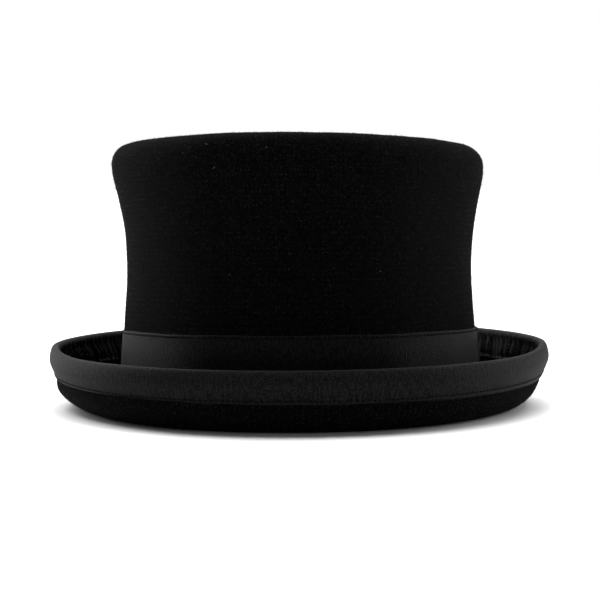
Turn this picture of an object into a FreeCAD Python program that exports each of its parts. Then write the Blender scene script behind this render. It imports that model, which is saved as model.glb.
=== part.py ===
import FreeCAD, Part
import math
import os

# A low-crowned top hat in millimetres, +Z up.  It stands on the flat of its brim at z = 0, its
# front faces -Y, and the wearer's left is at +X.  The origin is under the middle of the head oval.
#
# Everything that runs round the head is one section, drawn at the wearer's left side, and swept
# round the same four-arc head oval.  A layer's section is the strip between two offsets of a path
# of straight runs and arcs, so neighbouring layers share exact faces.

# Head oval, measured on the outside of the crown at its base
BASE_HALF_WIDTH = 86.1
BASE_HALF_LENGTH = 106.1
END_RADIUS = 72.3

# Crown wall, from the base up
WALL_TAPER = 3.85        # degrees inwards at the base
WALL_STRAIGHT = 55.0     # height of the straight lower wall
WAIST_RADIUS = 150.0
WALL_FLARE = 11.8        # degrees outwards above the waist
FLARE_RUN = 11.4         # length of the straight flare
SHOULDER_RADIUS = 38.0
TIP_EDGE_RADIUS = 9.6
CROWN_LEAN = 1.9         # degrees that the crown leans back on the level brim

# Brim section, from the head opening out to the rim
COLLAR_TOP = 8.0         # height of the short wall that carries the crown
BREAK_RADIUS = 4.6       # underside corner at the head opening
BRIM_FLAT = 10.7
ROLL_RADIUS = 16.0
ROLL_ANGLE = 74.0
ROLL_WALL = 11.0
CURL_RADIUS = 9.0
CURL_ANGLE = 41.0

# Cloth, leather and wire
FELT = 2.6
RIBBON = 0.8
BINDING_OUTSIDE = 9.0    # straight part of the binding under the curl, outside
BINDING_INSIDE = 6.0     # the same on the inside
BAND_TOP = 36.7
BAND_FOOT = 4.8          # level at which the ribbon stops above the brim
JOIN_WIDTH = 14.0
SWEATBAND = 1.2
SWEATBAND_TOP = 34.0
SWEATBAND_FOOT = 3.0
SATIN = 0.3
LINING_FOOT = 20.0
CLEARANCE = 0.1
WIRE_RADIUS = 0.45
JOINER_RADIUS = 0.62
JOINER_ANGLE = 8.0
REED_RADIUS = 0.9
REED_HEIGHT = 2.0
THREAD_RADIUS = 0.25
STITCH_INSET = 1.6       # from a ribbon's edge to its stitches
BOW_WING = 8.0
BOW_DEPTH = 1.6
KNOT = 3.0
LABEL_WIDTH = 22.0
LABEL_HEIGHT = 12.0
LABEL_THICKNESS = 0.3

UP = FreeCAD.Vector(0, 0, 1)
ORIGIN = FreeCAD.Vector(0, 0, 0)
FAR = 400.0

END_CENTRE = BASE_HALF_LENGTH - END_RADIUS
SIDE_CENTRE = (END_CENTRE ** 2 - (BASE_HALF_WIDTH - END_RADIUS) ** 2) / (2 * (BASE_HALF_WIDTH - END_RADIUS))
SIDE_RADIUS = BASE_HALF_WIDTH + SIDE_CENTRE
SIDE_HALF_ANGLE = math.degrees(math.atan2(END_CENTRE, SIDE_CENTRE))

# The four arcs of the oval: centre, radius at the crown's base, first direction, degrees swept
OVAL_ARCS = [
    (-SIDE_CENTRE, 0.0, SIDE_RADIUS, -SIDE_HALF_ANGLE, 2 * SIDE_HALF_ANGLE),
    (0.0, END_CENTRE, END_RADIUS, SIDE_HALF_ANGLE, 180.0 - 2 * SIDE_HALF_ANGLE),
    (SIDE_CENTRE, 0.0, SIDE_RADIUS, 180.0 - SIDE_HALF_ANGLE, 2 * SIDE_HALF_ANGLE),
    (0.0, -END_CENTRE, END_RADIUS, 180.0 + SIDE_HALF_ANGLE, 180.0 - 2 * SIDE_HALF_ANGLE),
]
SIDE_ARC = 0
BACK_ARC = 1


def heading_vector(degrees):
    return FreeCAD.Vector(math.cos(math.radians(degrees)), 0, math.sin(math.radians(degrees)))


class Path:
    """A path in the XZ plane of straight runs and tangent arcs."""

    def __init__(self, x, z, heading):
        self.place = FreeCAD.Vector(x, 0, z)
        self.heading = heading
        self.pieces = []

    def left(self):
        return heading_vector(self.heading + 90)

    def run(self, length):
        begin = self.place
        self.place = begin + heading_vector(self.heading) * length
        self.pieces.append((begin, self.place, self.left(), None, 0.0))
        return self

    def turn(self, radius, degrees):
        """An arc: to the left for positive degrees, to the right for negative ones."""
        side = 1 if degrees > 0 else -1
        centre = self.place + self.left() * radius * side
        self.pieces.append((self.place, centre, self.left() * side, radius * side, degrees))
        self.heading += degrees
        self.place = centre - self.left() * radius * side
        return self

    def edges(self, offset):
        """The path's own edges, moved to its left by the offset."""
        made = []
        for begin, other, normal, radius, degrees in self.pieces:
            if radius is None:
                shift = normal * offset
                made.append(Part.makeLine(begin + shift, other + shift))
            else:
                made.append(self.arc_edge(begin, other, radius, degrees, offset))
        return made

    def arc_edge(self, begin, centre, radius, degrees, offset):
        reach = (begin - centre) * ((radius - offset) / radius)
        points = []
        for share in (0.0, 0.5, 1.0):
            spin = FreeCAD.Rotation(FreeCAD.Vector(0, -1, 0), degrees * share)
            points.append(centre + spin.multVec(reach))
        return Part.Arc(*points).toShape()


def strip(path, near, far):
    """The closed section between two offsets of one path."""
    first = path.edges(near)
    second = path.edges(far)
    foot = Part.makeLine(first[0].firstVertex().Point, second[0].firstVertex().Point)
    top = Part.makeLine(first[-1].lastVertex().Point, second[-1].lastVertex().Point)
    outline = first + [top] + second + [foot]
    return Part.Face(Part.Wire(Part.__sortEdges__(outline)))


def disc(x, z, radius):
    circle = Part.makeCircle(radius, FreeCAD.Vector(x, 0, z), FreeCAD.Vector(0, 1, 0))
    return Part.Face(Part.Wire(circle))


def sweep_arc(section, arc, begin=0.0, swept=None):
    """One arc's stretch of a section drawn at the wearer's left side."""
    centre_x, centre_y, radius, direction, full = OVAL_ARCS[arc]
    turned = full if swept is None else swept
    piece = section.copy()
    piece.translate(FreeCAD.Vector(radius - BASE_HALF_WIDTH, 0, 0))
    piece.rotate(ORIGIN, UP, direction + begin)
    piece.translate(FreeCAD.Vector(centre_x, centre_y, 0))
    return piece.revolve(FreeCAD.Vector(centre_x, centre_y, 0), UP, turned)


def sweep_oval(section):
    stretches = [sweep_arc(section, arc) for arc in range(len(OVAL_ARCS))]
    return stretches[0].fuse(stretches[1:]).removeSplitter()


def oval_plate(half_width, bottom, thickness):
    """A flat oval plate that fits inside the head oval's family of offsets."""
    offset = half_width - BASE_HALF_WIDTH
    edges = []
    for centre_x, centre_y, radius, direction, full in OVAL_ARCS:
        centre = FreeCAD.Vector(centre_x, centre_y, bottom)
        circle = Part.Circle(centre, UP, radius + offset)
        edges.append(Part.Arc(circle, math.radians(direction), math.radians(direction + full)).toShape())
    outline = Part.Wire(Part.__sortEdges__(edges))
    return Part.Face(outline).extrude(UP * thickness)


def lean(shape):
    leaning = shape.copy()
    leaning.rotate(ORIGIN, FreeCAD.Vector(1, 0, 0), -CROWN_LEAN)
    return leaning


def cut_level(shape, level):
    """What is left of a shape above a level plane."""
    below = Part.makeBox(2 * FAR, 2 * FAR, FAR, FreeCAD.Vector(-FAR, -FAR, level - FAR))
    return shape.cut(below)


def crown_wall(height, foot=-6.0):
    """The outside of the crown's straight lower wall, from the foot up to a height."""
    slope = math.radians(WALL_TAPER)
    start = BASE_HALF_WIDTH - foot * math.tan(slope)
    return Path(start, foot, 90 + WALL_TAPER).run((height - foot) / math.cos(slope))


def crown_path(foot=-6.0):
    path = crown_wall(WALL_STRAIGHT, foot)
    path.turn(WAIST_RADIUS, -(WALL_TAPER + WALL_FLARE))
    path.run(FLARE_RUN)
    path.turn(SHOULDER_RADIUS, WALL_FLARE)
    path.turn(TIP_EDGE_RADIUS, 90)
    return path


def wall_half_width(height):
    return BASE_HALF_WIDTH - height * math.tan(math.radians(WALL_TAPER))


def brim_path():
    """The underside of the brim, from inside the head opening out to the rim's edge."""
    path = Path(wall_half_width(COLLAR_TOP) - FELT, COLLAR_TOP, -90)
    path.run(COLLAR_TOP - BREAK_RADIUS)
    path.turn(BREAK_RADIUS, 90)
    path.run(BRIM_FLAT)
    path.turn(ROLL_RADIUS, ROLL_ANGLE)
    path.run(ROLL_WALL)
    path.turn(CURL_RADIUS, CURL_ANGLE)
    return path


def binding_path():
    """Up the outside of the rolled brim, over the rim and down the inside."""
    rim = brim_path()
    outer_wall = rim.pieces[-2]
    foot = outer_wall[1] - (outer_wall[1] - outer_wall[0]).normalize() * BINDING_OUTSIDE
    path = Path(foot.x, foot.z, rim.heading - CURL_ANGLE)
    path.run(BINDING_OUTSIDE)
    path.turn(CURL_RADIUS, CURL_ANGLE)
    path.turn(FELT / 2, 180)
    path.turn(CURL_RADIUS - FELT, -CURL_ANGLE)
    path.run(BINDING_INSIDE)
    return path


def rim_centre():
    """The middle of the felt's edge, and the way the edge faces."""
    rim = brim_path()
    return rim.place + rim.left() * (FELT / 2), heading_vector(rim.heading)


def make_crown_felt():
    path = crown_path()
    wall = sweep_oval(strip(path, 0.0, FELT))
    top = path.place
    tip = oval_plate(top.x, top.z - FELT, FELT)
    return cut_level(lean(wall.fuse(tip).removeSplitter()), COLLAR_TOP)


def make_brim_felt():
    return sweep_oval(strip(brim_path(), 0.0, FELT))


def make_brim_binding():
    return sweep_oval(strip(binding_path(), -RIBBON, 0.0))


def make_binding_thread():
    path = binding_path()
    foot, wall_end, normal = path.pieces[0][0], path.pieces[0][1], path.pieces[0][2]
    along = (wall_end - foot).normalize()
    place = foot + along * STITCH_INSET - normal * (RIBBON + THREAD_RADIUS)
    return sweep_oval(disc(place.x, place.z, THREAD_RADIUS))


def make_brim_wire():
    middle, out = rim_centre()
    place = middle + out * JOINER_RADIUS
    return sweep_oval(disc(place.x, place.z, WIRE_RADIUS))


def make_wire_joiner():
    middle, out = rim_centre()
    place = middle + out * JOINER_RADIUS
    sleeve = disc(place.x, place.z, JOINER_RADIUS).cut(disc(place.x, place.z, WIRE_RADIUS))
    begin = (OVAL_ARCS[BACK_ARC][4] - JOINER_ANGLE) / 2
    return sweep_arc(sleeve.Faces[0], BACK_ARC, begin, JOINER_ANGLE)


def make_crown_band():
    band = sweep_oval(strip(crown_wall(BAND_TOP), -RIBBON, 0.0))
    return cut_level(lean(band), BAND_FOOT)


def make_band_join():
    """The folded tab that covers the ribbon's ends at the wearer's left."""
    section = strip(crown_wall(BAND_TOP), -2 * RIBBON, -RIBBON)
    degrees = math.degrees(JOIN_WIDTH / SIDE_RADIUS)
    begin = SIDE_HALF_ANGLE - degrees / 2
    return cut_level(lean(sweep_arc(section, SIDE_ARC, begin, degrees)), BAND_FOOT)


def make_band_thread():
    height = BAND_TOP - STITCH_INSET
    place = wall_half_width(height) + (RIBBON + THREAD_RADIUS) / math.cos(math.radians(WALL_TAPER))
    ring = lean(sweep_oval(disc(place, height, THREAD_RADIUS)))
    return ring.cut(make_band_join())


def lining_near():
    return FELT + CLEARANCE


def make_lining_side():
    path = crown_path(LINING_FOOT)
    return lean(sweep_oval(strip(path, lining_near(), lining_near() + SATIN)))


def make_lining_tip():
    top = crown_path().place
    return lean(oval_plate(top.x, top.z - lining_near() - SATIN, SATIN))


def sweatband_near():
    return lining_near() + SATIN + CLEARANCE


def make_sweatband():
    band = sweep_oval(strip(crown_wall(SWEATBAND_TOP), sweatband_near(), sweatband_near() + SWEATBAND))
    return cut_level(lean(band), SWEATBAND_FOOT)


def sweatband_face(height):
    """Half-width inside the sweatband at a height."""
    layers = (sweatband_near() + SWEATBAND) / math.cos(math.radians(WALL_TAPER))
    return wall_half_width(height) - layers


def make_sweatband_reed():
    middle = sweatband_face(REED_HEIGHT) + SWEATBAND / 2
    return sweep_oval(disc(middle, REED_HEIGHT, REED_RADIUS))


def make_sweatband_thread():
    height = SWEATBAND_TOP - STITCH_INSET
    return lean(sweep_oval(disc(sweatband_face(height) - THREAD_RADIUS, height, THREAD_RADIUS)))


def make_sweatband_bow():
    """The small ribbon bow that marks the back of the sweatband."""
    height = SWEATBAND_TOP / 2
    face = BASE_HALF_LENGTH - BASE_HALF_WIDTH + sweatband_face(height) - 3 * CLEARANCE
    wing = Part.makePolygon([
        FreeCAD.Vector(KNOT / 2, face, height - KNOT / 2),
        FreeCAD.Vector(KNOT / 2 + BOW_WING, face, height - KNOT),
        FreeCAD.Vector(KNOT / 2 + BOW_WING, face, height + KNOT),
        FreeCAD.Vector(KNOT / 2, face, height + KNOT / 2),
        FreeCAD.Vector(KNOT / 2, face, height - KNOT / 2),
    ])
    right = Part.Face(wing).extrude(FreeCAD.Vector(0, -BOW_DEPTH, 0))
    left = right.mirror(ORIGIN, FreeCAD.Vector(1, 0, 0))
    corner = FreeCAD.Vector(-KNOT / 2, face - BOW_DEPTH - CLEARANCE, height - KNOT / 2 - CLEARANCE)
    knot = Part.makeBox(KNOT, BOW_DEPTH + CLEARANCE, KNOT + 2 * CLEARANCE, corner)
    bow = knot.fuse([left, right])
    sagitta = (KNOT / 2 + BOW_WING) ** 2 / (2 * (END_RADIUS - sweatband_near() - SWEATBAND))
    bow.translate(FreeCAD.Vector(0, -sagitta, 0))
    return lean(bow)


def make_size_label():
    """The blank tab that hangs inside the sweatband beside the bow."""
    wall = crown_wall(SWEATBAND_TOP - LABEL_HEIGHT / 2, SWEATBAND_TOP - 1.5 * LABEL_HEIGHT)
    near = sweatband_near() + SWEATBAND
    degrees = math.degrees(LABEL_WIDTH / END_RADIUS)
    begin = OVAL_ARCS[BACK_ARC][4] / 2 + 1.2 * degrees
    return lean(sweep_arc(strip(wall, near, near + LABEL_THICKNESS), BACK_ARC, begin, degrees))


NODES = {
    "crown_felt": make_crown_felt,
    "brim_felt": make_brim_felt,
    "brim_wire": make_brim_wire,
    "wire_joiner": make_wire_joiner,
    "brim_binding": make_brim_binding,
    "binding_thread": make_binding_thread,
    "crown_band": make_crown_band,
    "band_join": make_band_join,
    "band_thread": make_band_thread,
    "lining_side": make_lining_side,
    "lining_tip": make_lining_tip,
    "sweatband": make_sweatband,
    "sweatband_reed": make_sweatband_reed,
    "sweatband_thread": make_sweatband_thread,
    "sweatband_bow": make_sweatband_bow,
    "size_label": make_size_label,
}


def main():
    os.makedirs("parts", exist_ok=True)
    for name, make in NODES.items():
        shape = make()
        shape.exportStep(os.path.join("parts", name + ".step"))
        print(name, "valid", shape.isValid(), "solids", len(shape.Solids), "mm3", round(shape.Volume))


main()
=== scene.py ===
import bpy
import math
import random
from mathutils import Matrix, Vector


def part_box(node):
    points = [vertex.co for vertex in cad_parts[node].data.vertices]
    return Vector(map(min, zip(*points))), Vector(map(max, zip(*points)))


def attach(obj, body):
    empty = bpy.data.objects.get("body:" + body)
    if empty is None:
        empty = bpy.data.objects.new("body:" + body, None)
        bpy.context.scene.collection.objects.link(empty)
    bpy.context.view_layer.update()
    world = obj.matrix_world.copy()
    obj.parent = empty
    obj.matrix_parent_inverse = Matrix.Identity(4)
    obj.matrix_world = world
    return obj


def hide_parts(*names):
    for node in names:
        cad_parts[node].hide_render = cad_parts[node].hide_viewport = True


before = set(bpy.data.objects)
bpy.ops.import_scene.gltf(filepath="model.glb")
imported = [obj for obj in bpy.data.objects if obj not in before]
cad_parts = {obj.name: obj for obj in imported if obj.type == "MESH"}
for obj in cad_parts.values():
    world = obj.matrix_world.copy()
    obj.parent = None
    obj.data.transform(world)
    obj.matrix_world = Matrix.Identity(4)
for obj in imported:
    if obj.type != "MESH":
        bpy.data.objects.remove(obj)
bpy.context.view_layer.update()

# A low-crowned top hat in blocked black wool felt. Sizes are in millimetres and degrees.
# The front of the hat faces -Y and the wearer's left is at +X, as in the frame.

mm = 0.001
fullTurn = 2 * math.pi

# The head oval is four arcs: two long side arcs and two tighter end arcs
oval = {"halfWidth": 86.1, "halfLength": 106.1, "endRadius": 72.3}
endRadius = oval["endRadius"]
endCentre = oval["halfLength"] - endRadius
endGap = oval["halfWidth"] - endRadius
sideCentre = (endCentre ** 2 - endGap ** 2) / (2 * endGap)
sideRadius = oval["halfWidth"] + sideCentre
sideTurn = math.atan2(endCentre, sideCentre)
endTurn = math.pi / 2 - sideTurn

# centre x, centre y, radius and angle of each stretch, going round from the wearer's left
ovalArcs = (
    (-sideCentre, 0, sideRadius, sideTurn),
    (0, endCentre, endRadius, 2 * endTurn),
    (sideCentre, 0, sideRadius, 2 * sideTurn),
    (0, -endCentre, endRadius, 2 * endTurn),
    (-sideCentre, 0, sideRadius, sideTurn),
)

# The crown's outside, from its foot up, and the brim's underside, from the head opening out
crown = {"taper": 3.85, "straight": 55.0, "waist": 150.0, "flare": 11.8, "flareRun": 11.4,
         "shoulder": 38.0, "tipEdge": 9.6, "lean": 1.9, "felt": 2.6}
brim = {"collarTop": 8.0, "breakRadius": 4.6, "flat": 10.7, "rollRadius": 16.0, "rollAngle": 74.0,
        "wall": 11.0, "curlRadius": 9.0, "curlAngle": 41.0}
taperTan = math.tan(math.radians(crown["taper"]))
taperCos = math.cos(math.radians(crown["taper"]))
leanSine = math.sin(math.radians(crown["lean"]))


def wallHalfWidth(height):
    return oval["halfWidth"] - height * taperTan


# The point at a distance along a heading, in the plane of a section
def ahead(x, z, heading, distance):
    turn = math.radians(heading)
    return (x + distance * math.cos(turn), z + distance * math.sin(turn))


# where the rolled brim's straight wall begins and ends on the outside, and the curl's centre
wallHeading = brim["rollAngle"]
brimInner = wallHalfWidth(brim["collarTop"]) - crown["felt"]
flatEnd = brimInner + brim["breakRadius"] + brim["flat"]
wallFoot = ahead(flatEnd, brim["rollRadius"], wallHeading - 90, brim["rollRadius"])
wallHead = ahead(*wallFoot, wallHeading, brim["wall"])
curlCentre = ahead(*wallHead, wallHeading + 90, brim["curlRadius"])
rimRadius = brim["curlRadius"] - crown["felt"] / 2
rimMiddle = ahead(*curlCentre, wallHeading + brim["curlAngle"] - 90, rimRadius)
rimOut = wallHead[0] - oval["halfWidth"]

# How the hand-shaped hat departs from its blocks
settled = {"frontDip": 2.2, "frontFrom": 0.5, "rightSpread": 1.2, "rightBulge": 2.2, "leftSpread": 0.5,
           "tipDrop": 1.4, "tipTilt": 0.75, "tipAside": 0.4, "tipBulge": 0.6, "tipWidth": 88.0,
           "tipHeight": 124.6, "waistAside": 0.4, "waistHeight": 85.0, "waistReach": 22.0}


# The way the wall faces at a point (radians from the wearer's left), and how far outside
# the head oval the point is
def unroll(x, y):
    facing = math.atan2(abs(y), abs(x) + sideCentre)
    if facing <= sideTurn:
        out = math.hypot(abs(x) + sideCentre, y) - sideRadius
    else:
        facing = math.atan2(abs(y) - endCentre, abs(x))
        out = math.hypot(x, abs(y) - endCentre) - endRadius
    if x < 0:
        facing = math.pi - facing
    if y < 0:
        facing = fullTurn - facing
    return facing % fullTurn, out


def roll(facing, out):
    c, s = math.cos(facing), math.sin(facing)
    if math.atan2(abs(s), abs(c)) <= sideTurn:
        return ((sideRadius + out) * c - math.copysign(sideCentre, c), (sideRadius + out) * s)
    return ((endRadius + out) * c, (endRadius + out) * s + math.copysign(endCentre, s))


# The length round from the wearer's left to a facing, at a distance outside the oval
def lengthTo(facing, out):
    length = 0
    for x, y, radius, turn in ovalArcs:
        length += (radius + out) * min(max(facing, 0), turn)
        facing -= turn
    return length


def facingAt(length, out):
    turned = 0
    for x, y, radius, turn in ovalArcs:
        if length <= (radius + out) * turn:
            return turned + length / (radius + out)
        length -= (radius + out) * turn
        turned += turn
    return turned


def roundLength(out):
    return lengthTo(fullTurn, out)


def clearSelection():
    if bpy.context.object and bpy.context.object.mode != "OBJECT":
        bpy.ops.object.mode_set(mode="OBJECT")
    bpy.ops.object.select_all(action="DESELECT")


def pick(piece):
    clearSelection()
    piece.select_set(True)
    bpy.context.view_layer.objects.active = piece


def editWhole():
    bpy.ops.object.mode_set(mode="EDIT")
    bpy.ops.mesh.select_all(action="SELECT")


def leaveEdit():
    bpy.ops.object.mode_set(mode="OBJECT")


# Merges points that lie on each other, in edit mode
def mergeWhole():
    bpy.ops.mesh.select_all(action="SELECT")
    bpy.ops.mesh.remove_doubles(threshold=0.005 * mm)


# Turns all faces outwards and leaves edit mode
def turnOutwards():
    bpy.ops.mesh.select_all(action="SELECT")
    bpy.ops.mesh.normals_make_consistent(inside=False)
    leaveEdit()


def applyPlace():
    bpy.ops.object.transform_apply(location=True, rotation=True, scale=True)


# Draws a section at the wearer's left, in edit mode, from one point. A move of two numbers is
# a straight run (length, parts), of three a turn (radius, degrees to the left, parts), and of
# one a corner (degrees to the left).
def drawSection(name, x, z, heading, moves):
    clearSelection()
    bpy.ops.mesh.primitive_plane_add(size=mm, location=(x * mm, 0, z * mm))
    bpy.context.object.name = name
    applyPlace()
    bpy.ops.object.mode_set(mode="EDIT")
    bpy.ops.mesh.select_mode(type="VERT")
    bpy.ops.mesh.select_all(action="SELECT")
    bpy.ops.mesh.merge(type="CENTER")
    for move in moves:
        if len(move) == 1:
            heading += move[0]
        elif len(move) == 2:
            end = ahead(0, 0, heading, move[0] / move[1])
            for part in range(move[1]):
                bpy.ops.mesh.extrude_region_move(
                    TRANSFORM_OT_translate={"value": (end[0] * mm, 0, end[1] * mm)})
            x, z = ahead(x, z, heading, move[0])
        else:
            side = math.copysign(90, move[1])
            centre = ahead(x, z, heading + side, move[0])
            bpy.ops.mesh.spin(steps=move[2], angle=math.radians(move[1]),
                              center=(centre[0] * mm, 0, centre[1] * mm), axis=(0, 1, 0))
            x, z = ahead(*centre, heading + move[1] - side, move[0])
            heading += move[1]


# Takes the drawn section round the head and closes the ring. Spin turns clockwise. Cuts divide each
# step again, which is much quicker than short steps.
def sweepRound(spacing, cuts=0):
    mergeWhole()
    for x, y, radius, turn in ovalArcs:
        bpy.ops.mesh.spin(steps=max(4, round(turn * radius / spacing)), angle=-turn,
                          center=(x * mm, y * mm, 0), axis=(0, 0, 1))
    mergeWhole()
    turnOutwards()
    piece = bpy.context.object
    if cuts:
        facings = [unroll(v.co.x / mm, v.co.y / mm)[0] for v in piece.data.vertices]
        clearSelection()
        pick(piece)
        bpy.ops.object.mode_set(mode="EDIT")
        bpy.ops.mesh.select_mode(type="EDGE")
        bpy.ops.mesh.select_all(action="DESELECT")
        leaveEdit()
        for edge in piece.data.edges:
            apart = abs(facings[edge.vertices[0]] - facings[edge.vertices[1]])
            edge.select = apart > 0.001 and fullTurn - apart > 0.001
        bpy.ops.object.mode_set(mode="EDIT")
        bpy.ops.mesh.subdivide(number_cuts=cuts)
        bpy.ops.mesh.select_mode(type="VERT")
        leaveEdit()
    return piece


# Closes the flat inner edge of a swept piece with shrinking rings that meet in the middle
def closeTip(piece, rings=9):
    pick(piece)
    inmost = min(unroll(v.co.x / mm, v.co.y / mm)[1] for v in piece.data.vertices)
    bpy.ops.object.mode_set(mode="EDIT")
    bpy.ops.mesh.select_all(action="DESELECT")
    leaveEdit()
    for v in piece.data.vertices:
        v.select = unroll(v.co.x / mm, v.co.y / mm)[1] < inmost + 0.01
    bpy.ops.object.mode_set(mode="EDIT")
    for ring in range(rings):
        shrink = (rings - ring) / (rings - ring + 1)
        bpy.ops.mesh.extrude_region_move(TRANSFORM_OT_translate={"value": (0, 0, 0)})
        bpy.ops.transform.resize(value=(shrink, shrink, 1), center_override=(0, 0, 0))
    bpy.ops.mesh.extrude_region_move(TRANSFORM_OT_translate={"value": (0, 0, 0)})
    bpy.ops.mesh.merge(type="CENTER")
    turnOutwards()


# Moves each point of a wall: change gets its facing, distance out and height, and gives them back
def shapeWall(piece, change):
    for v in piece.data.vertices:
        facing, out = unroll(v.co.x / mm, v.co.y / mm)
        facing, out, height = change(facing, out, v.co.z / mm)
        x, y = roll(facing, out)
        v.co = (x * mm, y * mm, height * mm)


def easeIn(share):
    share = min(1, max(0, share))
    return share * share * (3 - 2 * share)


# The rim dips round the front and the roll spreads at both sides, more on the wearer's right,
# where it bulges low down as well
def settleBrim(facing, out, height):
    forward = easeIn(-math.sin(facing) / settled["frontFrom"])
    right = max(0, -math.cos(facing)) ** 2
    left = max(0, math.cos(facing)) ** 2
    out += (settled["rightSpread"] * right + settled["leftSpread"] * left) * easeIn((height - 14) / 10)
    out += settled["rightBulge"] * right * math.exp(-((height - 10) / 6) ** 2) * easeIn(height / 5)
    height -= settled["frontDip"] * forward * easeIn((height - 15) / 13)
    return facing, out, height


# The tip's edge is a little domed, lower at the wearer's left and fuller at the right, and the
# waist stands a little to the left
def settleCrown(piece):
    for v in piece.data.vertices:
        x = v.co.x / mm
        high = (v.co.z / mm / settled["tipHeight"]) ** 2
        change = -settled["tipDrop"] * (x / settled["tipWidth"]) ** 2
        change -= x * math.radians(settled["tipTilt"])
        v.co.z += change * high * mm
        waist = math.exp(-((v.co.z / mm - settled["waistHeight"]) / settled["waistReach"]) ** 2)
        v.co.x += settled["waistAside"] * waist * mm
        v.co.x -= (settled["tipAside"] * high + (settled["tipBulge"] * high ** 3 if x < 0 else 0)) * mm


def leanBack(piece):
    pick(piece)
    piece.rotation_euler.x = math.radians(-crown["lean"])
    applyPlace()


def addModifier(piece, kind, **settings):
    pick(piece)
    modifier = piece.modifiers.new(kind.title(), kind)
    for setting, value in settings.items():
        setattr(modifier, setting, value)
    bpy.ops.object.modifier_apply(modifier=modifier.name)


# Slow unevenness, as a hand-blocked or hand-sewn piece has
def unevenness(piece, size, depth):
    clouds = bpy.data.textures.new(piece.name + "Unevenness", "CLOUDS")
    clouds.noise_scale = size * mm
    clouds.noise_depth = 2
    addModifier(piece, "DISPLACE", texture=clouds, texture_coords="LOCAL", strength=depth * mm, mid_level=0.5)


def smooth(piece, degrees=40):
    pick(piece)
    bpy.ops.object.shade_smooth_by_angle(angle=math.radians(degrees))


# A UV map in metres: round the head, and up or in from the section
def unwrapRound(piece, out):
    layer = piece.data.uv_layers.new(name="round")
    whole = roundLength(out) * mm
    spots = []
    for v in piece.data.vertices:
        facing, ownOut = unroll(v.co.x / mm, v.co.y / mm)
        spots.append((lengthTo(facing, out) * mm, (v.co.z / mm - ownOut) * mm))
    for face in piece.data.polygons:
        corners = [spots[v] for v in face.vertices]
        seam = max(c[0] for c in corners) - min(c[0] for c in corners) > whole / 2
        for loop, corner in zip(face.loop_indices, corners):
            shift = whole if seam and corner[0] < whole / 2 else 0
            layer.data[loop].uv = (corner[0] + shift, corner[1])


def finishPiece(piece, slot, material, *nodes):
    piece.data.materials.clear()
    piece.data.materials.append(material)
    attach(piece, "root")
    if nodes:
        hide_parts(*nodes)


def hexColour(text):
    channels = [int(text[i:i + 2], 16) / 255 for i in (1, 3, 5)]
    linear = [c / 12.92 if c <= 0.04045 else ((c + 0.055) / 1.055) ** 2.4 for c in channels]
    return (*linear, 1)


def newMaterial(name):
    material = bpy.data.materials.new(name)
    material.use_nodes = True
    material.node_tree.nodes.clear()
    return material, material.node_tree


# Adds a node with its settings, and links or sets its inputs
def addNode(tree, kind, settings=None, inputs=None):
    node = tree.nodes.new("ShaderNode" + kind)
    for key, value in (settings or {}).items():
        setattr(node, key, value)
    for key, value in (inputs or {}).items():
        if isinstance(value, bpy.types.NodeSocket):
            tree.links.new(value, node.inputs[key])
        else:
            node.inputs[key].default_value = value
    return node


# Wool felt, blocked with steam and brushed: near-black and matt, with a short nap of lighter fibre. The low
# parts of the nap's relief are painted pure black, a painted shade in the gaps between the fibres. Real fibre
# is finer than this and drawn coarse so that it shows.
def makeWoolFelt():
    felt = {"gap": "#000000", "fibre": "#0c0c0d", "fibreSize": 0.7, "matSize": 3.0, "matShare": 0.15,
            "paintedShadeBelow": 0.52, "fibreAbove": 0.67, "relief": 1.6, "sheen": 0.016}
    material, tree = newMaterial("woolFeltBlocked")
    place = addNode(tree, "TexCoord").outputs["Object"]
    fibre = addNode(tree, "TexNoise", inputs={
        "Vector": place, "Scale": 1 / (felt["fibreSize"] * mm), "Detail": 2.0, "Roughness": 0.7,
        "Distortion": 0.8})
    mats = addNode(tree, "TexNoise", inputs={
        "Vector": place, "Scale": 1 / (felt["matSize"] * mm), "Detail": 2.0, "Roughness": 0.55})
    both = addNode(tree, "Math", {"operation": "MULTIPLY_ADD"}, {
        0: mats.outputs["Fac"], 1: felt["matShare"], 2: fibre.outputs["Fac"]})
    amount = addNode(tree, "MapRange", inputs={
        "Value": both.outputs["Value"], "From Min": felt["paintedShadeBelow"], "From Max": felt["fibreAbove"]})
    # the fibre tone on the raised relief is the felt's own colour; the pure black in its low parts is painted
    # shade between the fibres
    colour = addNode(tree, "MixRGB", inputs={
        "Fac": amount.outputs["Result"], "Color1": hexColour(felt["gap"]),
        "Color2": hexColour(felt["fibre"])})
    napped = addNode(tree, "Bump", inputs={
        "Height": both.outputs["Value"], "Strength": 1.0, "Distance": felt["relief"] * mm})
    shader = addNode(tree, "BsdfPrincipled", inputs={
        "Base Color": colour.outputs["Color"], "Roughness": 0.95, "IOR": 1.45, "Specular IOR Level": 0.02,
        "Sheen Weight": felt["sheen"], "Sheen Roughness": 0.45, "Sheen Tint": hexColour("#7c7c80"),
        "Normal": napped.outputs["Normal"]})
    addNode(tree, "OutputMaterial", inputs={"Surface": shader.outputs["BSDF"]})
    return material
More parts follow.
